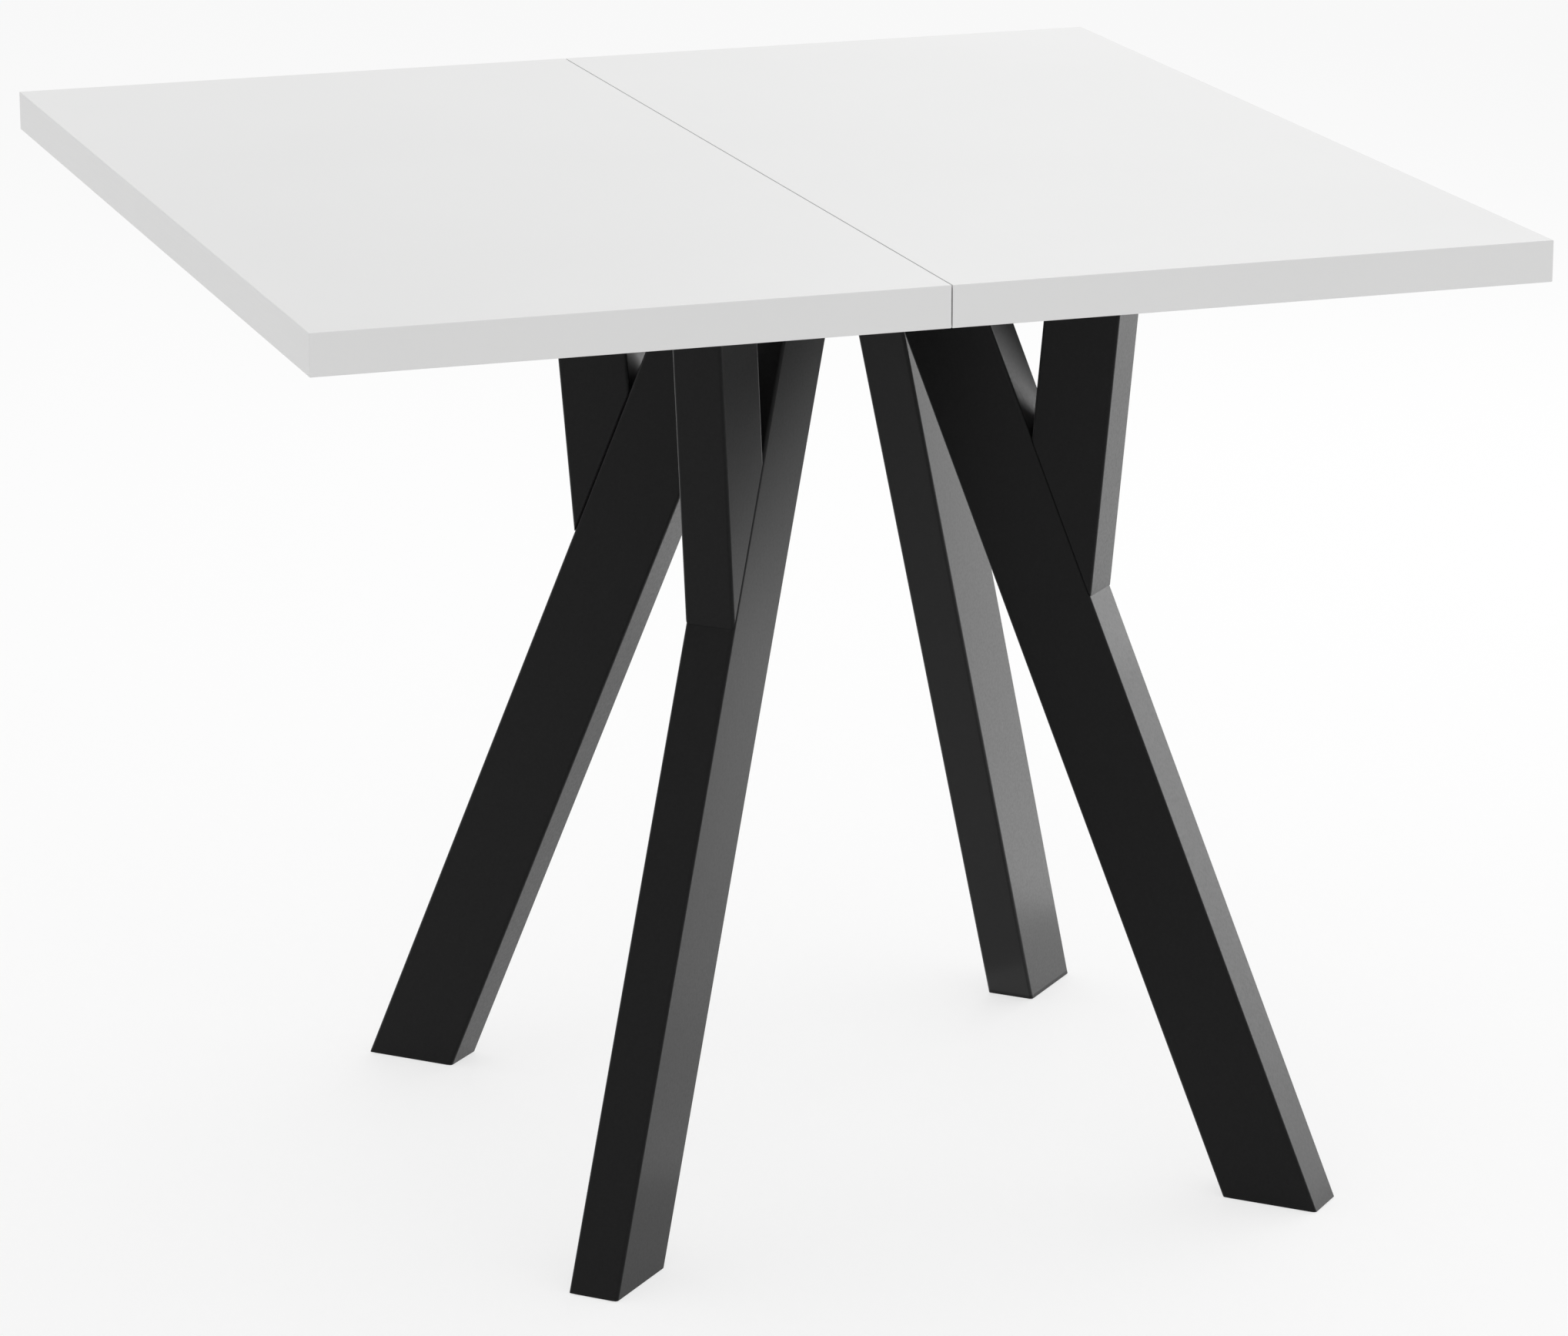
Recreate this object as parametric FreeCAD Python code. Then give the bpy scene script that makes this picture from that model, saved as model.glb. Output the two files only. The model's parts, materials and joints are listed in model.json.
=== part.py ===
"""A folding console table: two equal leaves that fold like a book, on a top that turns a quarter turn.

The frame's origin lies on the floor under the middle of the open top. +X runs across the seam from the
folding leaf to the turning leaf, +Y runs along the seam to the back, and +Z is up. Sizes are in millimetres.
"""
import FreeCAD, Part
import math
import os

from FreeCAD import Vector

# Open top
top_width = 900.0
top_depth = 900.0
table_height = 770.0
leaf_thickness = 30.0
seam_gap = 1.0
fold_gap = 0.3
edging_thickness = 2.0
edging_radius = 0.8
seam_radius = 0.3

# Legs, measured outwards from the middle of the base along each diagonal
first_arm_angle = 45.0
foot_inner_reach = 334.0
leg_width = 70.0
leg_thickness = 40.0
tube_wall = 2.0
tube_radius = 2.5
leg_head_gap = 17.0
brace_width = 60.0
brace_drop = 242.0
brace_spread = 64.0
joint_groove_width = 0.6
joint_groove_depth = 0.8
foot_reveal = 1.0
plug_height = 24.0
plug_clearance = 0.2

# Frame of rails under the top
rail_width = 40.0
rail_height = 30.0
rail_end_margin = 5.0
head_plate_width = 46.0
head_plate_thickness = 6.0
cap_thickness = 2.0
cap_insert = 14.0
cap_clearance = 0.2
pad_radius = 17.0
pad_clearance = 0.3
pad_rim_radius = 1.0
pad_margin = 6.0
spigot_radius = 5.0
spigot_length = 6.0
spigot_clearance = 0.1

# Leg bolts
bolt_diameter = 8.0
bolt_head_flats = 13.0
bolt_head_height = 5.3
bolt_clearance = 0.5
bolt_end = 2.0
washer_diameter = 16.0
washer_thickness = 1.6
nut_height = 6.5
thread_clearance = 0.1
bolt_place_shares = (0.28, 0.72)

# Pivot of the turning top
swivel_angle = 90.0
pivot_step = 74.0
pivot_diameter = 12.0
pivot_running_clearance = 0.05
pivot_plate_size = 110.0
pivot_plate_thickness = 4.0
pivot_plate_radius = 10.0
glide_washer_diameter = 34.0
glide_washer_thickness = 1.0
glide_washer_clearance = 0.3
bush_wall = 2.0
bush_flange_width = 3.0
bush_flange_thickness = 1.5
press_clearance = 0.02
lock_washer_diameter = 24.0
lock_washer_thickness = 2.0
pivot_nut_flats = 19.0
pivot_nut_height = 10.0
pivot_thread_end = 2.0
pivot_head_diameter = 26.0
pivot_head_height = 4.0
access_clearance = 2.0
swivel_plate_size = 120.0
swivel_plate_thickness = 3.0
swivel_plate_radius = 8.0
stop_radius = 38.0
stop_pin_diameter = 8.0
stop_pin_head_diameter = 12.0
stop_pin_head_height = 2.0
stop_clearance = 0.3
stop_end_gap = 0.4
pocket_clearance = 0.15

# Countersunk screws
screw_diameter = 4.5
screw_head_diameter = 9.0
screw_socket_flats = 3.0
screw_socket_depth = 1.6
wood_screw_length = 20.0
plate_screw_length = 10.0
plate_screw_inset = 10.0
plate_screw_spread = 24.0
swivel_screw_inset = 12.0

# Concealed hinges in the seam
hinge_end_margin = 120.0
link_inner_radius = 17.5
link_outer_radius = 23.0
link_width = 5.0
link_clearance = 0.3
link_half_span = 75.0
straight_down_angle = 270.0
cup_wall = 1.2
cup_plate_length = 58.0
cup_plate_thickness = 2.5
cup_plate_margin = 0.8
cup_screw_inset = 10.0

# Cuts run past the faces that they open by this much
overrun = 5.0

# Heights that follow
leaf_underside = table_height - leaf_thickness
pivot_plate_top = leaf_underside - glide_washer_thickness
rail_top = pivot_plate_top - pivot_plate_thickness
rail_bottom = rail_top - rail_height
leg_top = rail_bottom - head_plate_thickness
joint_height = leg_top - brace_drop
fold_axis_height = table_height + fold_gap / 2

# Lines of the legs: how far out each face lies at a height
head_inner_reach = head_plate_width / 2 + leg_head_gap
leg_slope = (foot_inner_reach - head_inner_reach) / leg_top
leg_lean = math.degrees(math.atan(leg_slope))
leg_level_width = leg_width / math.cos(math.radians(leg_lean))
joint_reach = foot_inner_reach + leg_level_width - leg_slope * joint_height
brace_head_inner = head_inner_reach + leg_level_width + brace_spread


def brace_lean_angle():
    """The brace's outward lean, at which its inner face passes the head at brace_head_inner."""
    run = brace_head_inner - joint_reach
    lean = math.asin(brace_width / math.hypot(run, brace_drop)) + math.atan2(run, brace_drop)
    return math.degrees(lean)


brace_lean = brace_lean_angle()
brace_head_outer = brace_head_inner + brace_width / math.cos(math.radians(brace_lean))
rail_reach = brace_head_outer + rail_end_margin
pad_reach = rail_reach - cap_insert - spigot_radius - pad_margin
bolt_reaches = [brace_head_inner - brace_spread * (1 - share) for share in bolt_place_shares]

# The base stands where a quarter turn about the pivot brings the folded top over its middle
base_offset = top_width / 4 - 2 * pivot_step
pivot_place = Vector(base_offset + pivot_step, pivot_step, 0)
pivot_reach = math.hypot(pivot_step, pivot_step)

# One leg stands on each diagonal, and the first carries the pivot
arm_names = ("back_right", "back_left", "front_left", "front_right")
arm_angles = {arm: first_arm_angle + 90 * step for step, arm in enumerate(arm_names)}
pivot_arm = arm_names[0]
hinge_spacing = top_depth / 2 - hinge_end_margin
hinge_places = {"front": -hinge_spacing, "middle": 0.0, "back": hinge_spacing}

AXIS_X = Vector(1, 0, 0)
AXIS_Y = Vector(0, 1, 0)
AXIS_Z = Vector(0, 0, 1)
ORIGIN = Vector(0, 0, 0)


# Plain shapes
def block(x_span, y_span, z_span):
    """A box between pairs of low and high values."""
    corner = Vector(x_span[0], y_span[0], z_span[0])
    size = [span[1] - span[0] for span in (x_span, y_span, z_span)]
    return Part.makeBox(size[0], size[1], size[2], corner)


def around(middle, width):
    """The low and high values of a width about a middle."""
    return (middle - width / 2, middle + width / 2)


def along(edge, axis):
    """Whether a straight edge runs along an axis."""
    run = edge.Vertexes[-1].Point - edge.Vertexes[0].Point
    return abs(run.dot(axis)) > run.cross(axis).Length


def rounded_block(x_span, y_span, z_span, axis, radius):
    """A box whose four edges along one axis are rounded."""
    shape = block(x_span, y_span, z_span)
    return shape.makeFillet(radius, [edge for edge in shape.Edges if along(edge, axis)])


def disc(place, radius, z_span):
    """An upright cylinder."""
    return Part.makeCylinder(radius, z_span[1] - z_span[0], Vector(place.x, place.y, z_span[0]))


def hexagon(place, flats, z_span):
    """An upright six-sided prism, given across its flats."""
    corner = flats / math.sqrt(3)
    turns = [math.radians(60 * step) for step in range(7)]
    points = [place + Vector(math.cos(turn), math.sin(turn), 0) * corner for turn in turns]
    prism = Part.Face(Part.makePolygon(points)).extrude(Vector(0, 0, z_span[1] - z_span[0]))
    return moved(prism, Vector(0, 0, z_span[0]))


def ring_sector(inner, outer, height, start, sweep):
    """A stretch of a flat ring about Z, from a starting angle."""
    sector = Part.makeCylinder(outer, height, ORIGIN, AXIS_Z, sweep)
    core = Part.makeCylinder(inner, height, ORIGIN, AXIS_Z)
    sector = sector.cut(core)
    sector.rotate(ORIGIN, AXIS_Z, start)
    return sector


def moved(shape, offset):
    """A copy of a shape, shifted."""
    copy = shape.copy()
    copy.translate(offset)
    return copy


def turned(shape, axis, angle, centre=ORIGIN):
    """A copy of a shape, turned about an axis."""
    copy = shape.copy()
    copy.rotate(centre, axis, angle)
    return copy


def on_arm(shape, arm):
    """Brings a shape from the arm's own frame, with X outwards, to its diagonal."""
    return moved(turned(shape, AXIS_Z, arm_angles[arm]), Vector(base_offset, 0, 0))


def export(name, *solids):
    """Writes one piece, or a group of like pieces, under its name."""
    shape = solids[0] if len(solids) == 1 else Part.makeCompound(list(solids))
    shape.exportStep(f"parts/{name}.step")


# Fasteners
def countersunk_screw(length):
    """A screw with its flat head at the origin and its shank down -Z."""
    head_radius = screw_head_diameter / 2
    shank_radius = screw_diameter / 2
    head_height = head_radius - shank_radius
    head = Part.makeCone(shank_radius, head_radius, head_height, Vector(0, 0, -head_height))
    shank = disc(ORIGIN, shank_radius, (-length, -head_height))
    socket = hexagon(ORIGIN, screw_socket_flats, (-screw_socket_depth, overrun))
    return head.fuse(shank).removeSplitter().cut(socket)


def screw_room(length):
    """The hole that a countersunk screw fits, in the same frame as the screw."""
    head_radius = screw_head_diameter / 2 + thread_clearance
    shank_radius = screw_diameter / 2 + thread_clearance
    head_height = head_radius - shank_radius
    head = Part.makeCone(shank_radius, head_radius, head_height, Vector(0, 0, -head_height))
    mouth = disc(ORIGIN, head_radius, (0, overrun))
    shank = disc(ORIGIN, shank_radius, (-length - thread_clearance, -head_height))
    return head.fuse([mouth, shank])


# Legs
def slanted_bar(width, thickness, radius, lean, edge_point):
    """A long bar whose outer face passes through a point of the arm. A positive lean goes outwards."""
    half_length = table_height
    bar = rounded_block(around(0, width), around(0, thickness), (-half_length, half_length), AXIS_Z, radius)
    bar = turned(bar, AXIS_Y, lean)
    tilt = math.radians(lean)
    middle = edge_point - Vector(math.cos(tilt), 0, -math.sin(tilt)) * (width / 2)
    return moved(bar, middle)


def tube_section(width, lean, edge_point, inset):
    """A long solid bar of a leg tube's section, drawn in all round by an inset."""
    tilt = math.radians(lean)
    inner_edge = edge_point - Vector(math.cos(tilt), 0, -math.sin(tilt)) * inset
    return slanted_bar(width - 2 * inset, leg_thickness - 2 * inset, tube_radius - inset, lean, inner_edge)


def slanted_tube(width, lean, edge_point):
    """A long rectangular tube in the arm's frame."""
    return tube_section(width, lean, edge_point, 0).cut(tube_section(width, lean, edge_point, tube_wall))


def slab(z_span):
    """Everything within reach between two heights."""
    return block(around(0, 2 * top_width), around(0, 2 * top_width), z_span)


def main_leg():
    """The slanted tube from the floor to the head plate."""
    foot_edge = Vector(foot_inner_reach + leg_level_width, 0, 0)
    return slanted_tube(leg_width, -leg_lean, foot_edge).common(slab((foot_reveal, leg_top)))


def up_to_leg_face(joint_edge, distance):
    """Everything within reach up to a distance outside the main leg's outer face."""
    inside = block((-2 * top_width, distance), around(0, 2 * leg_thickness), around(0, 2 * table_height))
    return moved(turned(inside, AXIS_Y, -leg_lean), joint_edge)


def leg_brace():
    """The shorter tube that stands on the main leg's outer face, with a fine groove round the joint."""
    joint_edge = Vector(joint_reach, 0, joint_height)
    tube = slanted_tube(brace_width, brace_lean, joint_edge).common(slab((0, leg_top)))
    core = tube_section(brace_width, brace_lean, joint_edge, joint_groove_depth)
    groove = up_to_leg_face(joint_edge, joint_groove_width).cut(core)
    return tube.cut([up_to_leg_face(joint_edge, 0), groove])


def foot_plug():
    """The plug that closes the main leg and stands on the floor."""
    tilt = math.radians(leg_lean)
    inset = tube_wall + plug_clearance
    foot_edge = Vector(foot_inner_reach + leg_level_width, 0, 0)
    plug_edge = foot_edge - Vector(math.cos(tilt), 0, math.sin(tilt)) * inset
    bar = slanted_bar(leg_width - 2 * inset, leg_thickness - 2 * inset, tube_radius, -leg_lean, plug_edge)
    return bar.common(slab((0, plug_height)))


def leg_head_plate():
    """The plate across the heads of the main leg and its brace, with its bolt holes."""
    plate = block((head_inner_reach, rail_reach), around(0, head_plate_width), (leg_top, rail_bottom))
    return plate.cut([bolt_hole(reach, leg_top, rail_bottom) for reach in bolt_reaches])


# Frame of rails
def bolt_hole(reach, low, high):
    """A clearance hole for a leg bolt between two heights."""
    return disc(Vector(reach, 0, 0), bolt_diameter / 2 + bolt_clearance, (low - overrun, high))


def rail_tube(x_span):
    """A level rectangular tube along the arm, with open ends."""
    z_span = (rail_bottom, rail_top)
    outside = rounded_block(x_span, around(0, rail_width), z_span, AXIS_X, tube_radius)
    bore_x = (x_span[0] - overrun, x_span[1] + overrun)
    bore_z = (rail_bottom + tube_wall, rail_top - tube_wall)
    bore_width = rail_width - 2 * tube_wall
    return outside.cut(rounded_block(bore_x, around(0, bore_width), bore_z, AXIS_X, tube_radius - tube_wall))


def rail_holes(side):
    """Bolt holes and the glide pad's hole in one half of a rail: side 1 outwards, -1 across the middle."""
    floor_top = rail_bottom + tube_wall
    holes = [bolt_hole(side * reach, rail_bottom, floor_top) for reach in bolt_reaches]
    pad_hole_span = (rail_top - tube_wall, rail_top + overrun)
    holes.append(disc(Vector(side * pad_reach, 0, 0), spigot_radius + spigot_clearance, pad_hole_span))
    return holes


def frame_rail_long():
    """The rail that runs right through and carries the pivot."""
    pivot = Vector(pivot_reach, 0, 0)
    bush_radius = pivot_diameter / 2 + pivot_running_clearance + bush_wall + press_clearance
    nut_radius = pivot_nut_flats / math.sqrt(3) + access_clearance
    holes = rail_holes(1) + rail_holes(-1)
    holes.append(disc(pivot, bush_radius, (rail_top - tube_wall, rail_top + overrun)))
    holes.append(disc(pivot, nut_radius, (rail_bottom - overrun, rail_bottom + tube_wall)))
    holes += [moved(screw_room(plate_screw_length), place) for place in pivot_screw_places()]
    return rail_tube((-rail_reach, rail_reach)).cut(holes)


def frame_rail_short():
    """One of the two rails that butt against the long rail."""
    return rail_tube((rail_width / 2, rail_reach)).cut(rail_holes(1))


def rail_end_cap():
    """A plug with a cover plate in the open end of a rail."""
    cover = rounded_block((rail_reach, rail_reach + cap_thickness), around(0, rail_width),
                          (rail_bottom, rail_top), AXIS_X, tube_radius)
    inset = tube_wall + cap_clearance
    insert = rounded_block((rail_reach - cap_insert, rail_reach), around(0, rail_width - 2 * inset),
                           (rail_bottom + inset, rail_top - inset), AXIS_X, tube_radius)
    return cover.fuse(insert).removeSplitter()


def glide_pad():
    """A round pad on the rail, with a spigot in the rail's top wall."""
    place = Vector(pad_reach, 0, 0)
    pad = disc(place, pad_radius, (rail_top, leaf_underside - pad_clearance))
    rim = [edge for edge in pad.Edges if edge.BoundBox.ZMin > rail_top]
    pad = pad.makeFillet(pad_rim_radius, [edge for edge in rim if edge.Closed])
    return pad.fuse(disc(place, spigot_radius, (rail_top - spigot_length, rail_top))).removeSplitter()


def leg_bolt(reach):
    """A hexagon bolt from below, through the head plate and the rail's bottom wall into its nut."""
    place = Vector(reach, 0, 0)
    head_top = leg_top - washer_thickness
    head = hexagon(place, bolt_head_flats, (head_top - bolt_head_height, head_top))
    shank_end = rail_bottom + tube_wall + nut_height + bolt_end
    return head.fuse(disc(place, bolt_diameter / 2, (head_top, shank_end))).removeSplitter()


def leg_bolt_washer(reach):
    """The washer under a leg bolt's head."""
    place = Vector(reach, 0, 0)
    z_span = (leg_top - washer_thickness, leg_top)
    bore = disc(place, bolt_diameter / 2 + bolt_clearance, z_span)
    return disc(place, washer_diameter / 2, z_span).cut(bore)


def rail_weld_nut(reach):
    """The nut welded inside the rail, on its bottom wall."""
    place = Vector(reach, 0, 0)
    floor_top = rail_bottom + tube_wall
    z_span = (floor_top, floor_top + nut_height)
    bore = disc(place, bolt_diameter / 2 + thread_clearance, z_span)
    return hexagon(place, bolt_head_flats, z_span).cut(bore)


# Pivot of the turning top
def pivot_screw_places():
    """The pivot plate's four screws, in the frame of the pivot's arm."""
    reach = pivot_plate_size / 2 - plate_screw_inset
    return [Vector(pivot_reach + x * reach, y * plate_screw_spread / 2, pivot_plate_top)
            for x in (-1, 1) for y in (-1, 1)]


def stop_slot(z_span):
    """The quarter-turn slot about the pivot, beside the rail."""
    half_width = stop_pin_diameter / 2 + stop_clearance
    start = 90 - swivel_angle / 2
    height = z_span[1] - z_span[0]
    ring = ring_sector(stop_radius - half_width, stop_radius + half_width, height, start, swivel_angle)
    turns = [math.radians(start), math.radians(start + swivel_angle)]
    ends = [disc(Vector(stop_radius * math.cos(a), stop_radius * math.sin(a), 0), half_width, (0, height))
            for a in turns]
    return moved(ring.fuse(ends), Vector(pivot_reach, 0, z_span[0]))


def pivot_plate():
    """The plate on the long rail that holds the bush and stops the quarter turn."""
    z_span = (rail_top, pivot_plate_top)
    plate = rounded_block(around(pivot_reach, pivot_plate_size), around(0, pivot_plate_size), z_span,
                          AXIS_Z, pivot_plate_radius)
    bush_radius = pivot_diameter / 2 + pivot_running_clearance + bush_wall + press_clearance
    holes = [disc(Vector(pivot_reach, 0, 0), bush_radius, (rail_top - overrun, pivot_plate_top + overrun))]
    holes.append(stop_slot((rail_top - overrun, pivot_plate_top + overrun)))
    holes += [moved(screw_room(plate_screw_length), place) for place in pivot_screw_places()]
    return plate.cut(holes)


def pivot_bush():
    """The flanged bush in the plate and the rail's top wall."""
    place = Vector(pivot_reach, 0, 0)
    bore = pivot_diameter / 2 + pivot_running_clearance
    flange_top = rail_top - tube_wall
    flange_bottom = flange_top - bush_flange_thickness
    barrel = disc(place, bore + bush_wall, (flange_bottom, pivot_plate_top))
    flange = disc(place, bore + bush_wall + bush_flange_width, (flange_bottom, flange_top))
    return barrel.fuse(flange).removeSplitter().cut(disc(place, bore, (flange_bottom, pivot_plate_top)))


def glide_washer():
    """The thin washer that the swivel plate turns on."""
    place = Vector(pivot_reach, 0, 0)
    z_span = (pivot_plate_top, leaf_underside)
    bore = pivot_diameter / 2 + glide_washer_clearance
    return disc(place, glide_washer_diameter / 2, z_span).cut(disc(place, bore, z_span))


def lock_washer_span():
    """Heights of the washer under the bush's flange."""
    top = rail_top - tube_wall - bush_flange_thickness
    return (top - lock_washer_thickness, top)


def pivot_lock_washer():
    """The washer between the bush's flange and the nut."""
    bore = disc(pivot_place, pivot_diameter / 2 + thread_clearance, lock_washer_span())
    return disc(pivot_place, lock_washer_diameter / 2, lock_washer_span()).cut(bore)


def pivot_nut_span():
    """Heights of the nut."""
    top = lock_washer_span()[0]
    return (top - pivot_nut_height, top)


def pivot_nut():
    """The nut that holds the top down on its washer."""
    bore = disc(pivot_place, pivot_diameter / 2 + thread_clearance, pivot_nut_span())
    return hexagon(pivot_place, pivot_nut_flats, pivot_nut_span()).cut(bore)


def pivot_bolt():
    """The bolt that hangs from the swivel plate."""
    plate_top = leaf_underside + swivel_plate_thickness
    head = disc(pivot_place, pivot_head_diameter / 2, (plate_top, plate_top + pivot_head_height))
    shank = disc(pivot_place, pivot_diameter / 2, (pivot_nut_span()[0] - pivot_thread_end, plate_top))
    return head.fuse(shank).removeSplitter()


def stop_pin_place():
    """The stop pin's place when the top is open."""
    angle = math.radians(arm_angles[pivot_arm] + 90 + swivel_angle / 2)
    return pivot_place + Vector(math.cos(angle), math.sin(angle), 0) * stop_radius


def stop_pin():
    """The headed pin in the swivel plate that runs in the slot."""
    plate_top = leaf_underside + swivel_plate_thickness
    head = disc(stop_pin_place(), stop_pin_head_diameter / 2, (plate_top, plate_top + stop_pin_head_height))
    shank = disc(stop_pin_place(), stop_pin_diameter / 2, (rail_top + stop_end_gap, plate_top))
    return head.fuse(shank).removeSplitter()


def swivel_screw_places():
    """The swivel plate's screws: one near each corner and two between them."""
    reach = swivel_plate_size / 2 - swivel_screw_inset
    return [pivot_place + Vector(x * reach, y * reach, leaf_underside) for x in (-1, 0, 1) for y in (-1, 1)]


def upward(shape):
    """Turns a screw over, so that its shank runs up."""
    return turned(shape, AXIS_X, 180)


def swivel_plate():
    """The plate let into the turning leaf's underside."""
    z_span = (leaf_underside, leaf_underside + swivel_plate_thickness)
    plate = rounded_block(around(pivot_place.x, swivel_plate_size), around(pivot_place.y, swivel_plate_size),
                          z_span, AXIS_Z, swivel_plate_radius)
    holes = [disc(pivot_place, pivot_diameter / 2 + thread_clearance, z_span)]
    holes.append(disc(stop_pin_place(), stop_pin_diameter / 2 + press_clearance, z_span))
    holes += [moved(upward(screw_room(wood_screw_length)), place) for place in swivel_screw_places()]
    return plate.cut(holes)


def swivel_pockets():
    """What is milled and drilled in the turning leaf for the swivel plate."""
    plate_top = leaf_underside + swivel_plate_thickness
    size = swivel_plate_size + 2 * pocket_clearance
    pockets = [rounded_block(around(pivot_place.x, size), around(pivot_place.y, size),
                             (leaf_underside - overrun, plate_top), AXIS_Z, swivel_plate_radius)]
    head_radius = pivot_head_diameter / 2 + pocket_clearance
    head_top = plate_top + pivot_head_height + pocket_clearance
    pockets.append(disc(pivot_place, head_radius, (leaf_underside, head_top)))
    pin_radius = stop_pin_head_diameter / 2 + pocket_clearance
    pin_top = plate_top + stop_pin_head_height + pocket_clearance
    pockets.append(disc(stop_pin_place(), pin_radius, (leaf_underside, pin_top)))
    pockets += [moved(upward(screw_room(wood_screw_length)), place) for place in swivel_screw_places()]
    return pockets


# Concealed hinges, made for the turning leaf's side of the seam
def about_fold_axis(shape, y_low, width):
    """Brings a flat ring stretch to the fold axis, with its angles from +X towards +Z."""
    return moved(turned(shape, AXIS_X, 90), Vector(0, y_low + width, fold_axis_height))


def hinge_link(y_low):
    """An arc about the fold axis, hanging below it."""
    start = straight_down_angle - link_half_span
    arc = ring_sector(link_inner_radius, link_outer_radius, link_width, start, 2 * link_half_span)
    return about_fold_axis(arc, y_low, link_width)


def link_low_edges(middle):
    """Where the near and far links of one hinge start along the seam."""
    return (middle - link_clearance / 2 - link_width, middle + link_clearance / 2)


def cup_cavity(middle):
    """The curved channel that both links run in."""
    width = 2 * link_width + 3 * link_clearance
    end_angle = math.degrees(link_clearance / link_inner_radius)
    ring = ring_sector(link_inner_radius - link_clearance, link_outer_radius + link_clearance, width,
                       straight_down_angle, link_half_span + end_angle)
    return about_fold_axis(ring, middle - width / 2, width)


def cup_body_span():
    """The cup body's depth and height: the channel with a wall round it."""
    rest = math.radians(90 - link_half_span)
    deep = link_outer_radius * math.cos(rest) + link_clearance + cup_wall
    low = fold_axis_height - link_outer_radius - link_clearance - cup_wall
    high = fold_axis_height - link_inner_radius * math.sin(rest) + link_clearance + cup_wall
    return (seam_gap / 2, deep), (low, high)


def cup_blank(middle, growth):
    """The outside of a cup, or its pocket when it grows by a clearance."""
    (face, deep), (low, high) = cup_body_span()
    body_width = 2 * (link_width + cup_wall + growth) + 3 * link_clearance
    body = block((face, deep + growth), around(middle, body_width), (low - growth, high + growth))
    low -= cup_plate_margin + growth
    high += cup_plate_margin + growth
    length = cup_plate_length + 2 * growth
    plate = rounded_block((face, face + cup_plate_thickness), around(middle, length), (low, high), AXIS_X,
                          (high - low) / 2 - cup_plate_margin)
    return plate, body


def cup_screw_places(middle):
    """The two screws of a cup, at the seam face."""
    low, high = cup_body_span()[1]
    reach = cup_plate_length / 2 - cup_screw_inset
    return [Vector(seam_gap / 2, middle + side * reach, (low + high) / 2) for side in (-1, 1)]


def inward(shape):
    """Turns a screw so that its shank runs from the seam into the turning leaf."""
    return turned(shape, AXIS_Y, -90)


def hinge_cup(middle):
    """A face plate with the channel body behind it, let into the seam edge."""
    plate, body = cup_blank(middle, 0)
    holes = [cup_cavity(middle)]
    holes += [moved(inward(screw_room(wood_screw_length)), place) for place in cup_screw_places(middle)]
    return plate.fuse(body).removeSplitter().cut(holes)


def hinge_pockets():
    """What is milled and drilled in a leaf's seam edge for its hinges."""
    pockets = []
    for middle in hinge_places.values():
        plate, body = cup_blank(middle, pocket_clearance)
        pockets += [plate, body]
        pockets += [moved(inward(screw_room(wood_screw_length)), place) for place in cup_screw_places(middle)]
    return pockets


def hinge_screws():
    """All the hinge screws of one leaf."""
    return [moved(inward(countersunk_screw(wood_screw_length)), place)
            for middle in hinge_places.values() for place in cup_screw_places(middle)]


# Leaves, made on the turning leaf's side of the seam
def leaf_spans(inset):
    """A leaf's spans, drawn in on its four sides."""
    x_span = (seam_gap / 2 + inset, top_width / 2 - inset)
    return x_span, around(0, top_depth - 2 * inset), (leaf_underside, table_height)


def leaf_blank():
    """The whole leaf with its rounded edges."""
    blank = block(*leaf_spans(0))
    at_seam = [edge for edge in blank.Edges if edge.BoundBox.XMax < top_width / 4]
    outer = [edge for edge in blank.Edges if edge.BoundBox.XMax > top_width / 4]
    seam_points = [edge.CenterOfMass for edge in at_seam]
    blank = blank.makeFillet(edging_radius, outer)
    sharp = [edge for edge in blank.Edges
             if edge.BoundBox.XMax < seam_gap and any((edge.CenterOfMass - point).Length < leaf_thickness / 4
                                                      for point in seam_points)]
    return blank.makeFillet(seam_radius, sharp)


def leaf_board(pockets):
    """The board inside the edging."""
    return block(*leaf_spans(edging_thickness)).cut(pockets)


def leaf_edging(pockets):
    """The four strips round the board: front, back, outer side and seam side."""
    ring = leaf_blank().cut(block(*leaf_spans(edging_thickness))).cut(pockets)
    reach = top_depth / 2 - edging_thickness
    x_all = (0, top_width)
    x_seam = (0, top_width / 4)
    x_outer = (top_width / 4, top_width)
    z_all = (leaf_underside, table_height)
    cells = [(x_all, (-top_depth, -reach)), (x_all, (reach, top_depth)), (x_seam, (-reach, reach)),
             (x_outer, (-reach, reach))]
    return [ring.common(block(x_span, y_span, z_all)) for x_span, y_span in cells]


def mirrored(shape):
    """The same piece on the folding leaf's side of the seam."""
    return shape.mirror(ORIGIN, AXIS_X)


os.makedirs("parts", exist_ok=True)

# Base
for arm in arm_angles:
    export(f"main_leg_{arm}", on_arm(main_leg(), arm))
    export(f"leg_brace_{arm}", on_arm(leg_brace(), arm))
    export(f"foot_plug_{arm}", on_arm(foot_plug(), arm))
    export(f"leg_head_plate_{arm}", on_arm(leg_head_plate(), arm))
    export(f"rail_end_cap_{arm}", on_arm(rail_end_cap(), arm))
    export(f"glide_pad_{arm}", on_arm(glide_pad(), arm))
export("frame_rail_long", on_arm(frame_rail_long(), pivot_arm))
for arm in arm_names[1::2]:
    export(f"frame_rail_short_{arm}", on_arm(frame_rail_short(), arm))
bolt_stations = [(arm, reach) for arm in arm_angles for reach in bolt_reaches]
export("leg_bolts", *[on_arm(leg_bolt(reach), arm) for arm, reach in bolt_stations])
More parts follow.
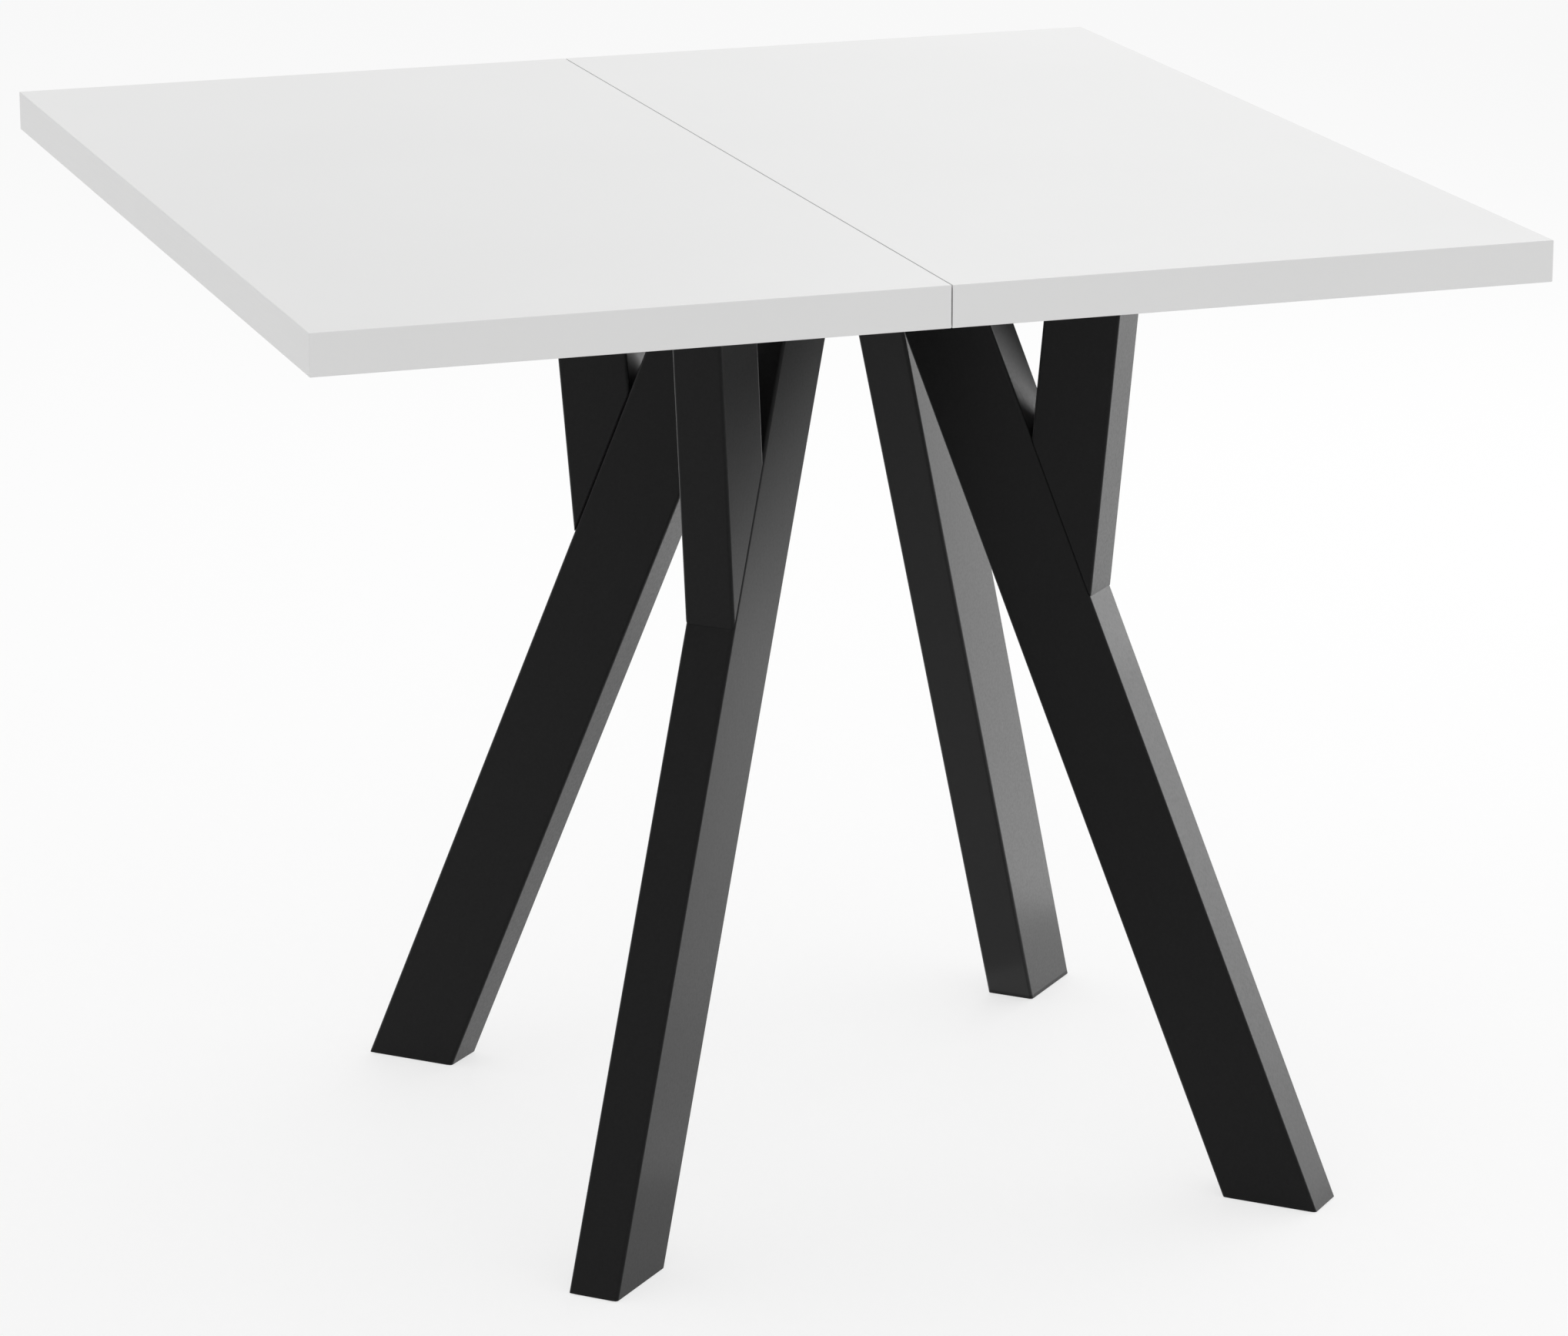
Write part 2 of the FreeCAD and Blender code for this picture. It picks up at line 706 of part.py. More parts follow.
export("leg_bolt_washers", *[on_arm(leg_bolt_washer(reach), arm) for arm, reach in bolt_stations])
export("rail_weld_nuts", *[on_arm(rail_weld_nut(reach), arm) for arm, reach in bolt_stations])
export("pivot_plate", on_arm(pivot_plate(), pivot_arm))
export("pivot_plate_screws", *[on_arm(moved(countersunk_screw(plate_screw_length), place), pivot_arm)
                               for place in pivot_screw_places()])
export("pivot_bush", on_arm(pivot_bush(), pivot_arm))
export("glide_washer", on_arm(glide_washer(), pivot_arm))

# Turning leaf
export("turning_leaf_board", leaf_board(hinge_pockets() + swivel_pockets()))
export("turning_leaf_edging", *leaf_edging(hinge_pockets()))
export("swivel_plate", swivel_plate())
export("swivel_plate_screws", *[moved(upward(countersunk_screw(wood_screw_length)), place)
                                for place in swivel_screw_places()])
export("pivot_bolt", pivot_bolt())
export("pivot_lock_washer", pivot_lock_washer())
export("pivot_nut", pivot_nut())
export("stop_pin", stop_pin())
export("hinge_screws_turning", *hinge_screws())

# Folding leaf
export("folding_leaf_board", mirrored(leaf_board(hinge_pockets())))
export("folding_leaf_edging", *[mirrored(strip) for strip in leaf_edging(hinge_pockets())])
export("hinge_screws_folding", *[mirrored(screw) for screw in hinge_screws()])

# Hinges
for place, middle in hinge_places.items():
    near_low, far_low = link_low_edges(middle)
    export(f"hinge_cup_turning_{place}", hinge_cup(middle))
    export(f"hinge_cup_folding_{place}", mirrored(hinge_cup(middle)))
    export(f"hinge_link_near_{place}", hinge_link(near_low))
    export(f"hinge_link_far_{place}", hinge_link(far_low))
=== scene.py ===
"""Dresses a folding console table: satin white leaves on black powder-coated steel legs.

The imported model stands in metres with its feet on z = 0. Every finish is made of shader nodes, and a plain
studio stage shows the table from its front left corner, a little from above.
"""

import json
import math

import bpy
from bpy.props import FloatProperty, FloatVectorProperty, PointerProperty
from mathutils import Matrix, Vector

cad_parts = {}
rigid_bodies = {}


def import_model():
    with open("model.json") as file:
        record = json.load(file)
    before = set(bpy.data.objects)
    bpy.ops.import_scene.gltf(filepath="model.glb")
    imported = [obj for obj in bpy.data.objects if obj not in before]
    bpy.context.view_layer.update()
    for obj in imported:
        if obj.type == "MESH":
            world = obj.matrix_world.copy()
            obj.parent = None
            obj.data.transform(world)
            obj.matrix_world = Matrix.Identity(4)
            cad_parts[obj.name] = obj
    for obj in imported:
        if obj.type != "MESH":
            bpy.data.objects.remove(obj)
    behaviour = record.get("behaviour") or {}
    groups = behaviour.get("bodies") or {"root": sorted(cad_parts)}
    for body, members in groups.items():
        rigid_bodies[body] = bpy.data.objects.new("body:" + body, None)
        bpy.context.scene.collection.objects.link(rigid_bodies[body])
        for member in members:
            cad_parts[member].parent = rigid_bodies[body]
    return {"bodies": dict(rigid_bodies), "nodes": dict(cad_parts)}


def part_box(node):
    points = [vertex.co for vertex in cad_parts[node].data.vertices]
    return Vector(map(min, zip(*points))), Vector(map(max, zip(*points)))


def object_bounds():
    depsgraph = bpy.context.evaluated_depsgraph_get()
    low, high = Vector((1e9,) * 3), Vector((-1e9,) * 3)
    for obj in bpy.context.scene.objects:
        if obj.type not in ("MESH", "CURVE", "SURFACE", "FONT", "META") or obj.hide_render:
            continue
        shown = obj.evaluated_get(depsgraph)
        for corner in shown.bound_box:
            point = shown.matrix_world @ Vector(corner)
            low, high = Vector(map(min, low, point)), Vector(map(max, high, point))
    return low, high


bl_info = {
    "name": "Folding console table",
    "version": (1, 0, 0),
    "blender": (4, 5, 0),
    "location": "3D View > Sidebar > Table",
    "description": "Finishes for a folding console table and a plain studio stage to show it on",
    "category": "Object",
}

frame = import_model()
cad_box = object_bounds()
UP = Vector((0.0, 0.0, 1.0))
# Colour of the black card that paints shade into the gloss of the front left leg
BLACK = (0.0, 0.0, 0.0)

# Watts that a square metre of a lamp needs to look as bright as white
WATTS_PER_LEVEL = 4.0

# How far a card keeps off the floor, the leaf or the lamp next to it, in metres
CARD_LIFT = 0.004

# Most of a noise's values lie between these
NOISE_LOW = 0.3
NOISE_HIGH = 0.7

# Octaves of noise in a finish
BROAD_DETAIL = 1.0
PLAIN_DETAIL = 2.0
FINE_DETAIL = 4.0

# How far a finish is drawn out along each axis
EVEN = (1.0, 1.0, 1.0)
ALONG_STRIPS = (60.0, 60.0, 1.0)
TURNED_RINGS = (40.0, 40.0, 1.0)
ALONG_SEAM = (1.0, 40.0, 1.0)
PLATED_BLOTCHES = (6.0, 6.0, 6.0)


# Settings
def colour(name, description, default):
    """A colour that a user can change."""
    return FloatVectorProperty(name=name, description=description, default=default, subtype="COLOR",
                               min=0.0, max=1.0)


def share(name, description, default):
    """A value from 0 to 1 that a user can change."""
    return FloatProperty(name=name, description=description, default=default, subtype="FACTOR",
                         min=0.0, max=1.0)


def length(name, description, default):
    """A length in metres that a user can change."""
    return FloatProperty(name=name, description=description, default=default, unit="LENGTH", min=0.0,
                         precision=6)


def lengths(name, description, default):
    """A pair of lengths in metres that a user can change."""
    return FloatVectorProperty(name=name, description=description, default=default, size=2, unit="LENGTH")


def angle(name, description, default):
    """An angle that a user can change, with its default in degrees."""
    return FloatProperty(name=name, description=description, default=math.radians(default), subtype="ANGLE")


def level(name, description, default):
    """A brightness that a user can change, where 1 is white."""
    return FloatProperty(name=name, description=description, default=default, min=0.0)


class TABLE_PG_leaves(bpy.types.PropertyGroup):
    """The white leaves."""
    white: colour("White", "Colour of the laminate and the edge strips", (0.785, 0.785, 0.782))
    tone_spread: share("Tone spread", "How much the white varies in broad clouds", 0.012)
    roughness: share("Roughness", "Roughness of the satin laminate", 0.42)
    roughness_spread: share("Roughness spread", "How much the roughness varies", 0.05)
    cloud_size: length("Cloud size", "Width of the broad clouds of tone", 0.18)
    grain_size: length("Grain size", "Width of the laminate's fine grain", 0.0011)
    grain_depth: length("Grain depth", "Depth of the laminate's fine grain", 0.000004)
    strip_line: length("Strip line", "Width of the fine lines along the edge strips", 0.0007)


class TABLE_PG_steel(bpy.types.PropertyGroup):
    """The powder-coated steel."""
    black: colour("Black", "Colour of the powder coat", (0.0095, 0.0095, 0.0097))
    tone_spread: share("Tone spread", "How much the black varies in fine specks", 0.15)
    roughness: share("Roughness", "Roughness of the satin powder coat", 0.33)
    roughness_spread: share("Roughness spread", "How much the roughness varies", 0.05)
    facing_gloss: share("Facing gloss", "Gloss seen straight on, as a share of clear lacquer's", 0.18)
    peel_size: length("Peel size", "Width of the coat's orange peel", 0.0022)
    peel_depth: length("Peel depth", "Depth of the coat's orange peel", 0.0000025)


class TABLE_PG_fittings(bpy.types.PropertyGroup):
    """Plastic, nylon, brass, nickel and zinc fittings."""
    plastic: colour("Plastic", "Colour of the foot plugs and rail end caps", (0.014, 0.014, 0.0145))
    nylon: colour("Nylon", "Colour of the glide pads and the glide washer", (0.42, 0.42, 0.41))
    brass: colour("Brass", "Colour of the pivot bush", (0.72, 0.53, 0.24))
    nickel: colour("Nickel", "Colour of the hinge cups and links", (0.62, 0.60, 0.57))
    zinc: colour("Zinc", "Colour of the plated screws, bolts and plates", (0.60, 0.61, 0.64))
    moulded_roughness: share("Moulded roughness", "Roughness of moulded pieces", 0.55)
    moulded_roughness_spread: share("Moulded roughness spread", "How much that roughness varies", 0.08)
    moulded_tone_spread: share("Moulded tone spread", "How much the moulded colours vary", 0.12)
    moulded_grain: length("Moulded grain", "Width of the grain on moulded pieces", 0.0006)
    moulded_depth: length("Moulded depth", "Depth of the grain on moulded pieces", 0.00003)
    metal_roughness: share("Metal roughness", "Roughness of bare metal", 0.3)
    metal_roughness_spread: share("Metal roughness spread", "How much that roughness varies", 0.08)
    metal_tone_spread: share("Metal tone spread", "How much the metal colours vary", 0.1)
    brushed_line: length("Brushed line", "Width of the lines on brushed metal", 0.0003)
    brushed_depth: length("Brushed depth", "Depth of the lines on brushed metal", 0.000005)


class TABLE_PG_stage(bpy.types.PropertyGroup):
    """Floor, light and camera."""
    floor: colour("Floor", "Colour of the floor", (0.955, 0.955, 0.955))
    floor_roughness: share("Floor roughness", "Roughness of the floor", 0.9)
    floor_tone_spread: share("Floor tone spread", "How much the floor's tone varies in broad clouds", 0.004)
    floor_cloud: length("Floor cloud", "Width of the floor's clouds of tone", 0.8)
    floor_width: length("Floor width", "Width of the floor", 80.0)
    floor_white: share("Floor white", "How far the floor looks plain white, apart from its shadows", 0.7)
    sky_level: level("Sky level", "Light from all round", 0.84)
    sky_lean: share("Sky lean", "How much brighter the sky is on the right than on average", 0.10)
    right_heading: angle("Right heading", "Where the sky is brightest, from +X towards +Y", 20.0)
    key_level: level("Key level", "Brightness of the soft lamp above", 0.95)
    key_width: length("Key width", "Width of the soft lamp above", 2.0)
    key_distance: length("Key distance", "How far the soft lamp hangs from the table", 3.2)
    key_heading: angle("Key heading", "Where the soft lamp hangs, from +X towards +Y", 50.0)
    key_height: angle("Key height", "How high the soft lamp hangs over the floor", 45.0)
    side_level: level("Side level", "Brightness of the soft lamp on the right", 0.4)
    side_lift: length("Side lift", "Height of that lamp's lower edge over the floor", 0.7)
    side_card_level: level("Side card level", "Brightness of the reflector on the floor below it", 2.0)
    side_size: lengths("Side size", "Width and height of the soft lamp on the right", (3.4, 1.8))
    side_distance: length("Side distance", "How far the lamp on the right stands from the table", 3.2)
    side_heading: angle("Side heading", "Where the lamp on the right stands, from +X towards +Y", 10.0)
    floor_card_level: level("Floor card level", "Brightness of the reflector on the floor at the right", 0.35)
    floor_card_place: lengths("Floor card place", "Its middle, out to the right and across to the back",
                              (1.475, -0.22))
    floor_card_size: lengths("Floor card size", "Its length to the right and its width", (2.25, 0.76))
    near_card_level: level("Near card level", "Brightness of the reflector between the front feet", 0.3)
    near_card_place: lengths("Near card place", "Its middle, out to the right and across to the back",
                             (0.2, -0.19))
    near_card_size: lengths("Near card size", "Its length to the right and its width", (0.5, 0.16))
    leg_card_level: level("Leg card level", "Brightness of the reflector by the back leg", 0.85)
    leg_card_place: lengths("Leg card place", "Where it stands", (0.54, 0.34))
    leg_card_size: lengths("Leg card size", "Its width and height", (0.26, 0.70))
    brace_card_level: level("Brace card level", "Brightness of the reflector by the front brace", 0.34)
    brace_card_place: lengths("Brace card place", "Where it hangs", (0.355, -0.108))
    brace_card_size: lengths("Brace card size", "Its width and height", (0.10, 0.28))
    brace_card_foot: length("Brace card foot", "Height of its lower edge", 0.41)
    # The black card that paints shade into the gloss of the front left leg's head
    dark_card_place: lengths("Dark card place", "Where the black card hangs under the top", (0.246, -0.011))
    dark_card_width: length("Dark card width", "Its width", 0.14)
    dark_card_foot: length("Dark card foot", "Height of its lower edge, where it is clear", 0.34)
    dark_card_full: length("Dark card full", "Height from which it is quite black", 0.62)
    camera_place: FloatVectorProperty(name="Camera place", description="Where the camera stands",
                                      default=(-1.4243, -4.2525, 1.6673), subtype="TRANSLATION")
    camera_heading: angle("Camera heading", "How far the camera looks to the right of +Y", 18.923)
    camera_pitch: angle("Camera pitch", "How far the camera looks down", 16.045)
    lens: FloatProperty(name="Lens", description="Focal length", default=140.48, unit="CAMERA", min=1.0)


class Finish:
    """A material made of shader nodes, laid out over the table's own coordinates."""

    def __init__(self, name, base_colour, roughness, metallic=0.0):
        self.material = bpy.data.materials.new(name)
        self.material.use_nodes = True
        self.tree = self.material.node_tree
        self.shader = self.tree.nodes["Principled BSDF"]
        self.shader.inputs["Base Color"].default_value = (*base_colour, 1.0)
        self.shader.inputs["Roughness"].default_value = roughness
        self.shader.inputs["Metallic"].default_value = metallic
        self.base_colour = Vector(base_colour)
        self.roughness = roughness
        self.coordinates = self.tree.nodes.new("ShaderNodeTexCoord").outputs["Object"]

    def grain(self, size, detail=PLAIN_DETAIL, stretch=EVEN):
        """Noise with features of a size, drawn out along an axis by its stretch."""
        place = self.tree.nodes.new("ShaderNodeMapping")
        place.inputs["Scale"].default_value = [1 / (size * drawn) for drawn in stretch]
        noise = self.tree.nodes.new("ShaderNodeTexNoise")
        noise.inputs["Scale"].default_value = 1.0
        noise.inputs["Detail"].default_value = detail
        self.tree.links.new(self.coordinates, place.inputs["Vector"])
        self.tree.links.new(place.outputs["Vector"], noise.inputs["Vector"])
        return noise.outputs["Fac"]

    def spread(self, grain, low, high):
        """Noise brought between two values."""
        spread = self.tree.nodes.new("ShaderNodeMapRange")
        spread.inputs["From Min"].default_value = NOISE_LOW
        spread.inputs["From Max"].default_value = NOISE_HIGH
        spread.inputs["To Min"].default_value = low
        spread.inputs["To Max"].default_value = high
        self.tree.links.new(grain, spread.inputs["Value"])
        return spread.outputs["Result"]

    def vary_tone(self, grain, amount):
        """Darkens the base colour by up to an amount, where the grain is low."""
        mix = self.tree.nodes.new("ShaderNodeMix")
        mix.data_type = "RGBA"
        mix.inputs["A"].default_value = (*(self.base_colour * (1 - amount)), 1.0)
        mix.inputs["B"].default_value = (*self.base_colour, 1.0)
        self.tree.links.new(self.spread(grain, 0.0, 1.0), mix.inputs["Factor"])
        self.tree.links.new(mix.outputs["Result"], self.shader.inputs["Base Color"])

    def vary_roughness(self, grain, amount):
        """Varies the roughness by an amount both ways."""
        rough = self.spread(grain, self.roughness - amount, self.roughness + amount)
        self.tree.links.new(rough, self.shader.inputs["Roughness"])

    def raise_grain(self, grain, depth):
        """Turns the grain into a relief of that depth."""
        bump = self.tree.nodes.new("ShaderNodeBump")
        bump.inputs["Strength"].default_value = 1.0
        bump.inputs["Distance"].default_value = depth
        self.tree.links.new(grain, bump.inputs["Height"])
        self.tree.links.new(bump.outputs["Normal"], self.shader.inputs["Normal"])

    def take_gloss_away(self):
        """Leaves the surface matte from every side."""
        self.shader.inputs["Specular IOR Level"].default_value = 0.0

    def thicken_upwards(self, low, high):
        """Leaves the surface clear up to one height and makes it solid from another."""
        height = self.tree.nodes.new("ShaderNodeSeparateXYZ")
        solid = self.tree.nodes.new("ShaderNodeMapRange")
        solid.inputs["From Min"].default_value = low
        solid.inputs["From Max"].default_value = high
        self.tree.links.new(self.coordinates, height.inputs["Vector"])
        self.tree.links.new(height.outputs["Z"], solid.inputs["Value"])
        self.tree.links.new(solid.outputs["Result"], self.shader.inputs["Alpha"])


def pieces_named(*beginnings):
    """The model's pieces whose names begin with any of the words."""
    found = [piece for name, piece in frame["nodes"].items() if name.startswith(beginnings)]
    if not found:
        raise RuntimeError(f"no piece is named {beginnings}")
    return found


def dress(pieces, finish):
    """Gives pieces a finish in place of the one that they came with."""
    for piece in pieces:
        piece.data.materials.clear()
        piece.data.materials.append(finish.material)


# Finishes
def white_laminate(leaves):
    """Satin laminate: a broad drift of tone and a fine pressed grain."""
    finish = Finish("white_laminate", leaves.white, leaves.roughness)
    finish.vary_tone(finish.grain(leaves.cloud_size), leaves.tone_spread)
    pressed = finish.grain(leaves.grain_size, FINE_DETAIL)
    finish.vary_roughness(pressed, leaves.roughness_spread)
    finish.raise_grain(pressed, leaves.grain_depth)
    return finish


def white_edge_strip(leaves):
    """The same white on extruded strips, with faint lines along them."""
    finish = Finish("white_edge_strip", leaves.white, leaves.roughness)
    finish.vary_tone(finish.grain(leaves.cloud_size), leaves.tone_spread)
    lines = finish.grain(leaves.strip_line, BROAD_DETAIL, ALONG_STRIPS)
    finish.vary_roughness(lines, leaves.roughness_spread)
    finish.raise_grain(lines, leaves.grain_depth)
    return finish


def black_powder_coat(steel):
    """Satin black powder coat with a soft orange peel."""
    finish = Finish("black_powder_coat", steel.black, steel.roughness)
    finish.shader.inputs["Specular Tint"].default_value = (*[steel.facing_gloss] * 3, 1.0)
    peel = finish.grain(steel.peel_size)
    finish.vary_tone(finish.grain(steel.peel_size, FINE_DETAIL), steel.tone_spread)
    finish.vary_roughness(peel, steel.roughness_spread)
    finish.raise_grain(peel, steel.peel_depth)
    return finish


def moulded(name, base_colour, fittings):
    """A matte moulded plastic with a fine spark-eroded grain."""
    finish = Finish(name, base_colour, fittings.moulded_roughness)
    grain = finish.grain(fittings.moulded_grain, FINE_DETAIL)
    finish.vary_tone(grain, fittings.moulded_tone_spread)
    finish.vary_roughness(grain, fittings.moulded_roughness_spread)
    finish.raise_grain(grain, fittings.moulded_depth)
    return finish


def brushed_metal(name, base_colour, fittings, stretch):
    """Bare metal with fine lines along one axis."""
    finish = Finish(name, base_colour, fittings.metal_roughness, metallic=1.0)
    lines = finish.grain(fittings.brushed_line, stretch=stretch)
    finish.vary_tone(lines, fittings.metal_tone_spread)
    finish.vary_roughness(lines, fittings.metal_roughness_spread)
    finish.raise_grain(lines, fittings.brushed_depth)
    return finish


# Stage
def clear_start_up(context):
    """Takes away what an empty file starts with."""
    kept = [*frame["nodes"].values(), *frame["bodies"].values()]
    for thing in list(context.scene.objects):
        if thing not in kept:
            bpy.data.objects.remove(thing)


def flat_stage_piece(context, name, corners, finish):
    """A flat piece of the stage between four corners."""
    mesh = bpy.data.meshes.new(name)
    mesh.from_pydata(corners, [], [(0, 1, 2, 3)])
    mesh.materials.append(finish.material)
    piece = bpy.data.objects.new(name, mesh)
    context.scene.collection.objects.link(piece)
    return piece


def lay_floor(context, stage):
    """A wide pale floor under the feet."""
    reach = stage.floor_width / 2
    height = cad_box[0].z
    corners = [(x * reach, y * reach, height) for x, y in ((-1, -1), (1, -1), (1, 1), (-1, 1))]
    finish = Finish("pale_floor", stage.floor, stage.floor_roughness)
    finish.take_gloss_away()
    finish.vary_tone(finish.grain(stage.floor_cloud), stage.floor_tone_spread)
    whiten_floor(finish, stage)
    flat_stage_piece(context, "floor", corners, finish)


def whiten_floor(finish, stage):
    """Lets the floor look mostly plain white to the eye and in reflections, with its shadows kept."""
    tree = finish.tree
    white = tree.nodes.new("ShaderNodeEmission")
    share_seen = tree.nodes.new("ShaderNodeMapRange")
    share_seen.inputs["To Max"].default_value = stage.floor_white
    tree.links.new(rays_to_the_eye(tree), share_seen.inputs["Value"])
    mix = tree.nodes.new("ShaderNodeMixShader")
    tree.links.new(share_seen.outputs["Result"], mix.inputs["Fac"])
    tree.links.new(finish.shader.outputs["BSDF"], mix.inputs[1])
    tree.links.new(white.outputs["Emission"], mix.inputs[2])
    tree.links.new(mix.outputs["Shader"], tree.nodes["Material Output"].inputs["Surface"])


def rays_to_the_eye(tree):
    """A value of 1 for what is seen by itself, in gloss or through glass, and 0 for light on the table."""
    rays = tree.nodes.new("ShaderNodeLightPath")
    seen = rays.outputs["Is Camera Ray"]
    for kind in ("Is Glossy Ray", "Is Transmission Ray"):
        either = tree.nodes.new("ShaderNodeMath")
        either.operation = "MAXIMUM"
        tree.links.new(seen, either.inputs[0])
        tree.links.new(rays.outputs[kind], either.inputs[1])
        seen = either.outputs["Value"]
    return seen


def towards(heading, height):
    """The direction to a place at a heading, from +X towards +Y, and a height over the floor."""
    level_way = Vector((math.cos(heading), math.sin(heading), 0.0))
    return level_way * math.cos(height) + UP * math.sin(height)


def light_all_round(context, stage):
    """A sky that is brighter on the right, and looks plain white by itself and in gloss."""
    world = bpy.data.worlds.new("studio")
    world.use_nodes = True
    tree = world.node_tree
    background = tree.nodes["Background"]
    background.inputs["Color"].default_value = (1.0, 1.0, 1.0, 1.0)
    lean = tree.nodes.new("ShaderNodeVectorMath")
    lean.operation = "DOT_PRODUCT"
    lean.inputs[1].default_value = towards(stage.right_heading, 0.0)
    tree.links.new(tree.nodes.new("ShaderNodeTexCoord").outputs["Generated"], lean.inputs[0])
    lit = tree.nodes.new("ShaderNodeMapRange")
    lit.inputs["From Min"].default_value = -1.0
    lit.inputs["To Min"].default_value = stage.sky_level * (1 - stage.sky_lean)
    lit.inputs["To Max"].default_value = stage.sky_level * (1 + stage.sky_lean)
    tree.links.new(lean.outputs["Value"], lit.inputs["Value"])
    strength = tree.nodes.new("ShaderNodeMapRange")
    strength.inputs["To Max"].default_value = 1.0
    tree.links.new(rays_to_the_eye(tree), strength.inputs["Value"])
    tree.links.new(lit.outputs["Result"], strength.inputs["To Min"])
    tree.links.new(strength.outputs["Result"], background.inputs["Strength"])
    context.scene.world = world


def hang_lamp(context, name, place, facing, size, brightness):
    """A rectangular lamp of an even brightness, which the camera doesn't see."""
    lamp = bpy.data.lights.new(name, "AREA")
    lamp.shape = "RECTANGLE"
    lamp.size, lamp.size_y = size
    lamp.energy = WATTS_PER_LEVEL * brightness * size[0] * size[1]
    hung = bpy.data.objects.new(name, lamp)
    hung.location = place
    hung.rotation_euler = facing.to_track_quat("-Z", "Y").to_euler()
    hung.visible_camera = False
    context.scene.collection.objects.link(hung)
    return hung


def hang_key(context, stage):
    """The soft lamp above and behind the table on the right."""
    middle = (cad_box[0] + cad_box[1]) / 2
    out = towards(stage.key_heading, stage.key_height)
    size = (stage.key_width, stage.key_width)
    hang_lamp(context, "key_lamp", middle + out * stage.key_distance, -out, size, stage.key_level)


def stand_side_lamp(context, stage):
    """The soft lamp on the right, and the reflector of its size that the legs' gloss shows instead."""
    out = towards(stage.side_heading, 0.0)
    size = stage.side_size
    stand = out * stage.side_distance + UP * size[1] / 2
    lamp = hang_lamp(context, "side_lamp", stand + UP * stage.side_lift, -out, size, stage.side_level)
    lamp.visible_glossy = False
    in_front = stand - out * CARD_LIFT
    shine_on_legs(hang_lamp(context, "side_card", in_front, -out, size, stage.side_card_level))


def show_in_gloss_only(card):
    """Keeps a card out of everything but gloss."""
    card.visible_diffuse = False
    card.visible_transmission = False
    card.visible_volume_scatter = False


def lit_legs():
    """The collection of the legs and braces, which the reflectors light."""
    legs = bpy.data.collections.get("lit_legs")
    if legs is None:
        legs = bpy.data.collections.new("lit_legs")
        for leg in pieces_named("main_leg", "leg_brace"):
            legs.objects.link(leg)
    return legs


def shine_on_legs(card):
    """Makes a lamp a reflector that shows in the gloss of the legs alone."""
    show_in_gloss_only(card)
    card.light_linking.receiver_collection = lit_legs()


def place_to_the_right(stage, out, across):
    """A place on the floor, so far out along the way to the right and so far across it to the back."""
    way = towards(stage.right_heading, 0.0)
    return way * out + UP.cross(way) * across


def lay_card(context, stage, name, place, size, brightness):
    """A reflector on the floor, laid along the way to the right."""
    middle = place_to_the_right(stage, *place) + UP * CARD_LIFT
    card = hang_lamp(context, name, middle, UP, size, brightness)
    card.rotation_euler.z += stage.right_heading
    shine_on_legs(card)


def lay_floor_cards(context, stage):
    """The long reflector at the right, and the short one between the front feet."""
    lay_card(context, stage, "floor_card", stage.floor_card_place, stage.floor_card_size,
             stage.floor_card_level)
    lay_card(context, stage, "near_card", stage.near_card_place, stage.near_card_size,
             stage.near_card_level)


def stand_card(context, stage, name, place, foot, size, brightness):
    """An upright reflector that faces left, with its lower edge at a height."""
    middle = Vector(place).to_3d() + UP * (foot + size[1] / 2)
    shine_on_legs(hang_lamp(context, name, middle, -towards(stage.right_heading, 0.0), size, brightness))


def stand_leg_cards(context, stage):
    """The narrow reflectors beside the back right leg and the front right brace."""
    stand_card(context, stage, "leg_card", stage.leg_card_place, cad_box[0].z,
               stage.leg_card_size, stage.leg_card_level)
    stand_card(context, stage, "brace_card", stage.brace_card_place, stage.brace_card_foot,
               stage.brace_card_size, stage.brace_card_level)


def hang_painted_shade_card(context, stage):
    """The black card under the top, seen only in gloss, that paints shade into the gloss of the front left
    leg's head.
    """
    middle = Vector(stage.dark_card_place).to_3d()
    side = place_to_the_right(stage, 0.0, stage.dark_card_width / 2)
    low = UP * stage.dark_card_foot
    high = UP * (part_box("turning_leaf_board")[0].z - CARD_LIFT)
    corners = [middle - side + low, middle + side + low, middle + side + high, middle - side + high]
    finish = Finish("black_card", BLACK, 1.0)
    finish.take_gloss_away()
    # Painted shade: the card is clear at its foot and fades in to quite black higher up
    finish.thicken_upwards(stage.dark_card_foot, stage.dark_card_full)
    card = flat_stage_piece(context, "dark_card", corners, finish)
    card.visible_camera = False
    card.visible_shadow = False
    show_in_gloss_only(card)


def stand_camera(context, stage):
    """The camera at the front left, a little above the top."""
    lens = bpy.data.cameras.new("camera")
    lens.lens = stage.lens
    camera = bpy.data.objects.new("camera", lens)
    camera.location = stage.camera_place
    camera.rotation_euler = (math.pi / 2 - stage.camera_pitch, 0.0, -stage.camera_heading)
    context.scene.collection.objects.link(camera)
    context.scene.camera = camera


# Operators
class TABLE_OT_leaves(bpy.types.Operator):
    """Dresses the two white boards and their edge strips"""
    bl_idname = "table.dress_leaves"
    bl_label = "Leaves"

    def execute(self, context):
        leaves = context.scene.table_leaves
        dress(pieces_named("turning_leaf_board", "folding_leaf_board"), white_laminate(leaves))
        dress(pieces_named("turning_leaf_edging", "folding_leaf_edging"), white_edge_strip(leaves))
        return {"FINISHED"}


class TABLE_OT_legs(bpy.types.Operator):
    """Dresses the steel legs, their braces and plates, and the frame of rails"""
    bl_idname = "table.dress_legs"
    bl_label = "Legs and rails"

    def execute(self, context):
        coat = black_powder_coat(context.scene.table_steel)
        dress(pieces_named("main_leg", "leg_brace", "leg_head_plate", "frame_rail"), coat)
        return {"FINISHED"}


class TABLE_OT_plugs(bpy.types.Operator):
    """Dresses the foot plugs and the rail end caps"""
    bl_idname = "table.dress_plugs"
    bl_label = "Plugs and caps"

    def execute(self, context):
        fittings = context.scene.table_fittings
        dress(pieces_named("foot_plug", "rail_end_cap"), moulded("black_plastic", fittings.plastic, fittings))
        return {"FINISHED"}


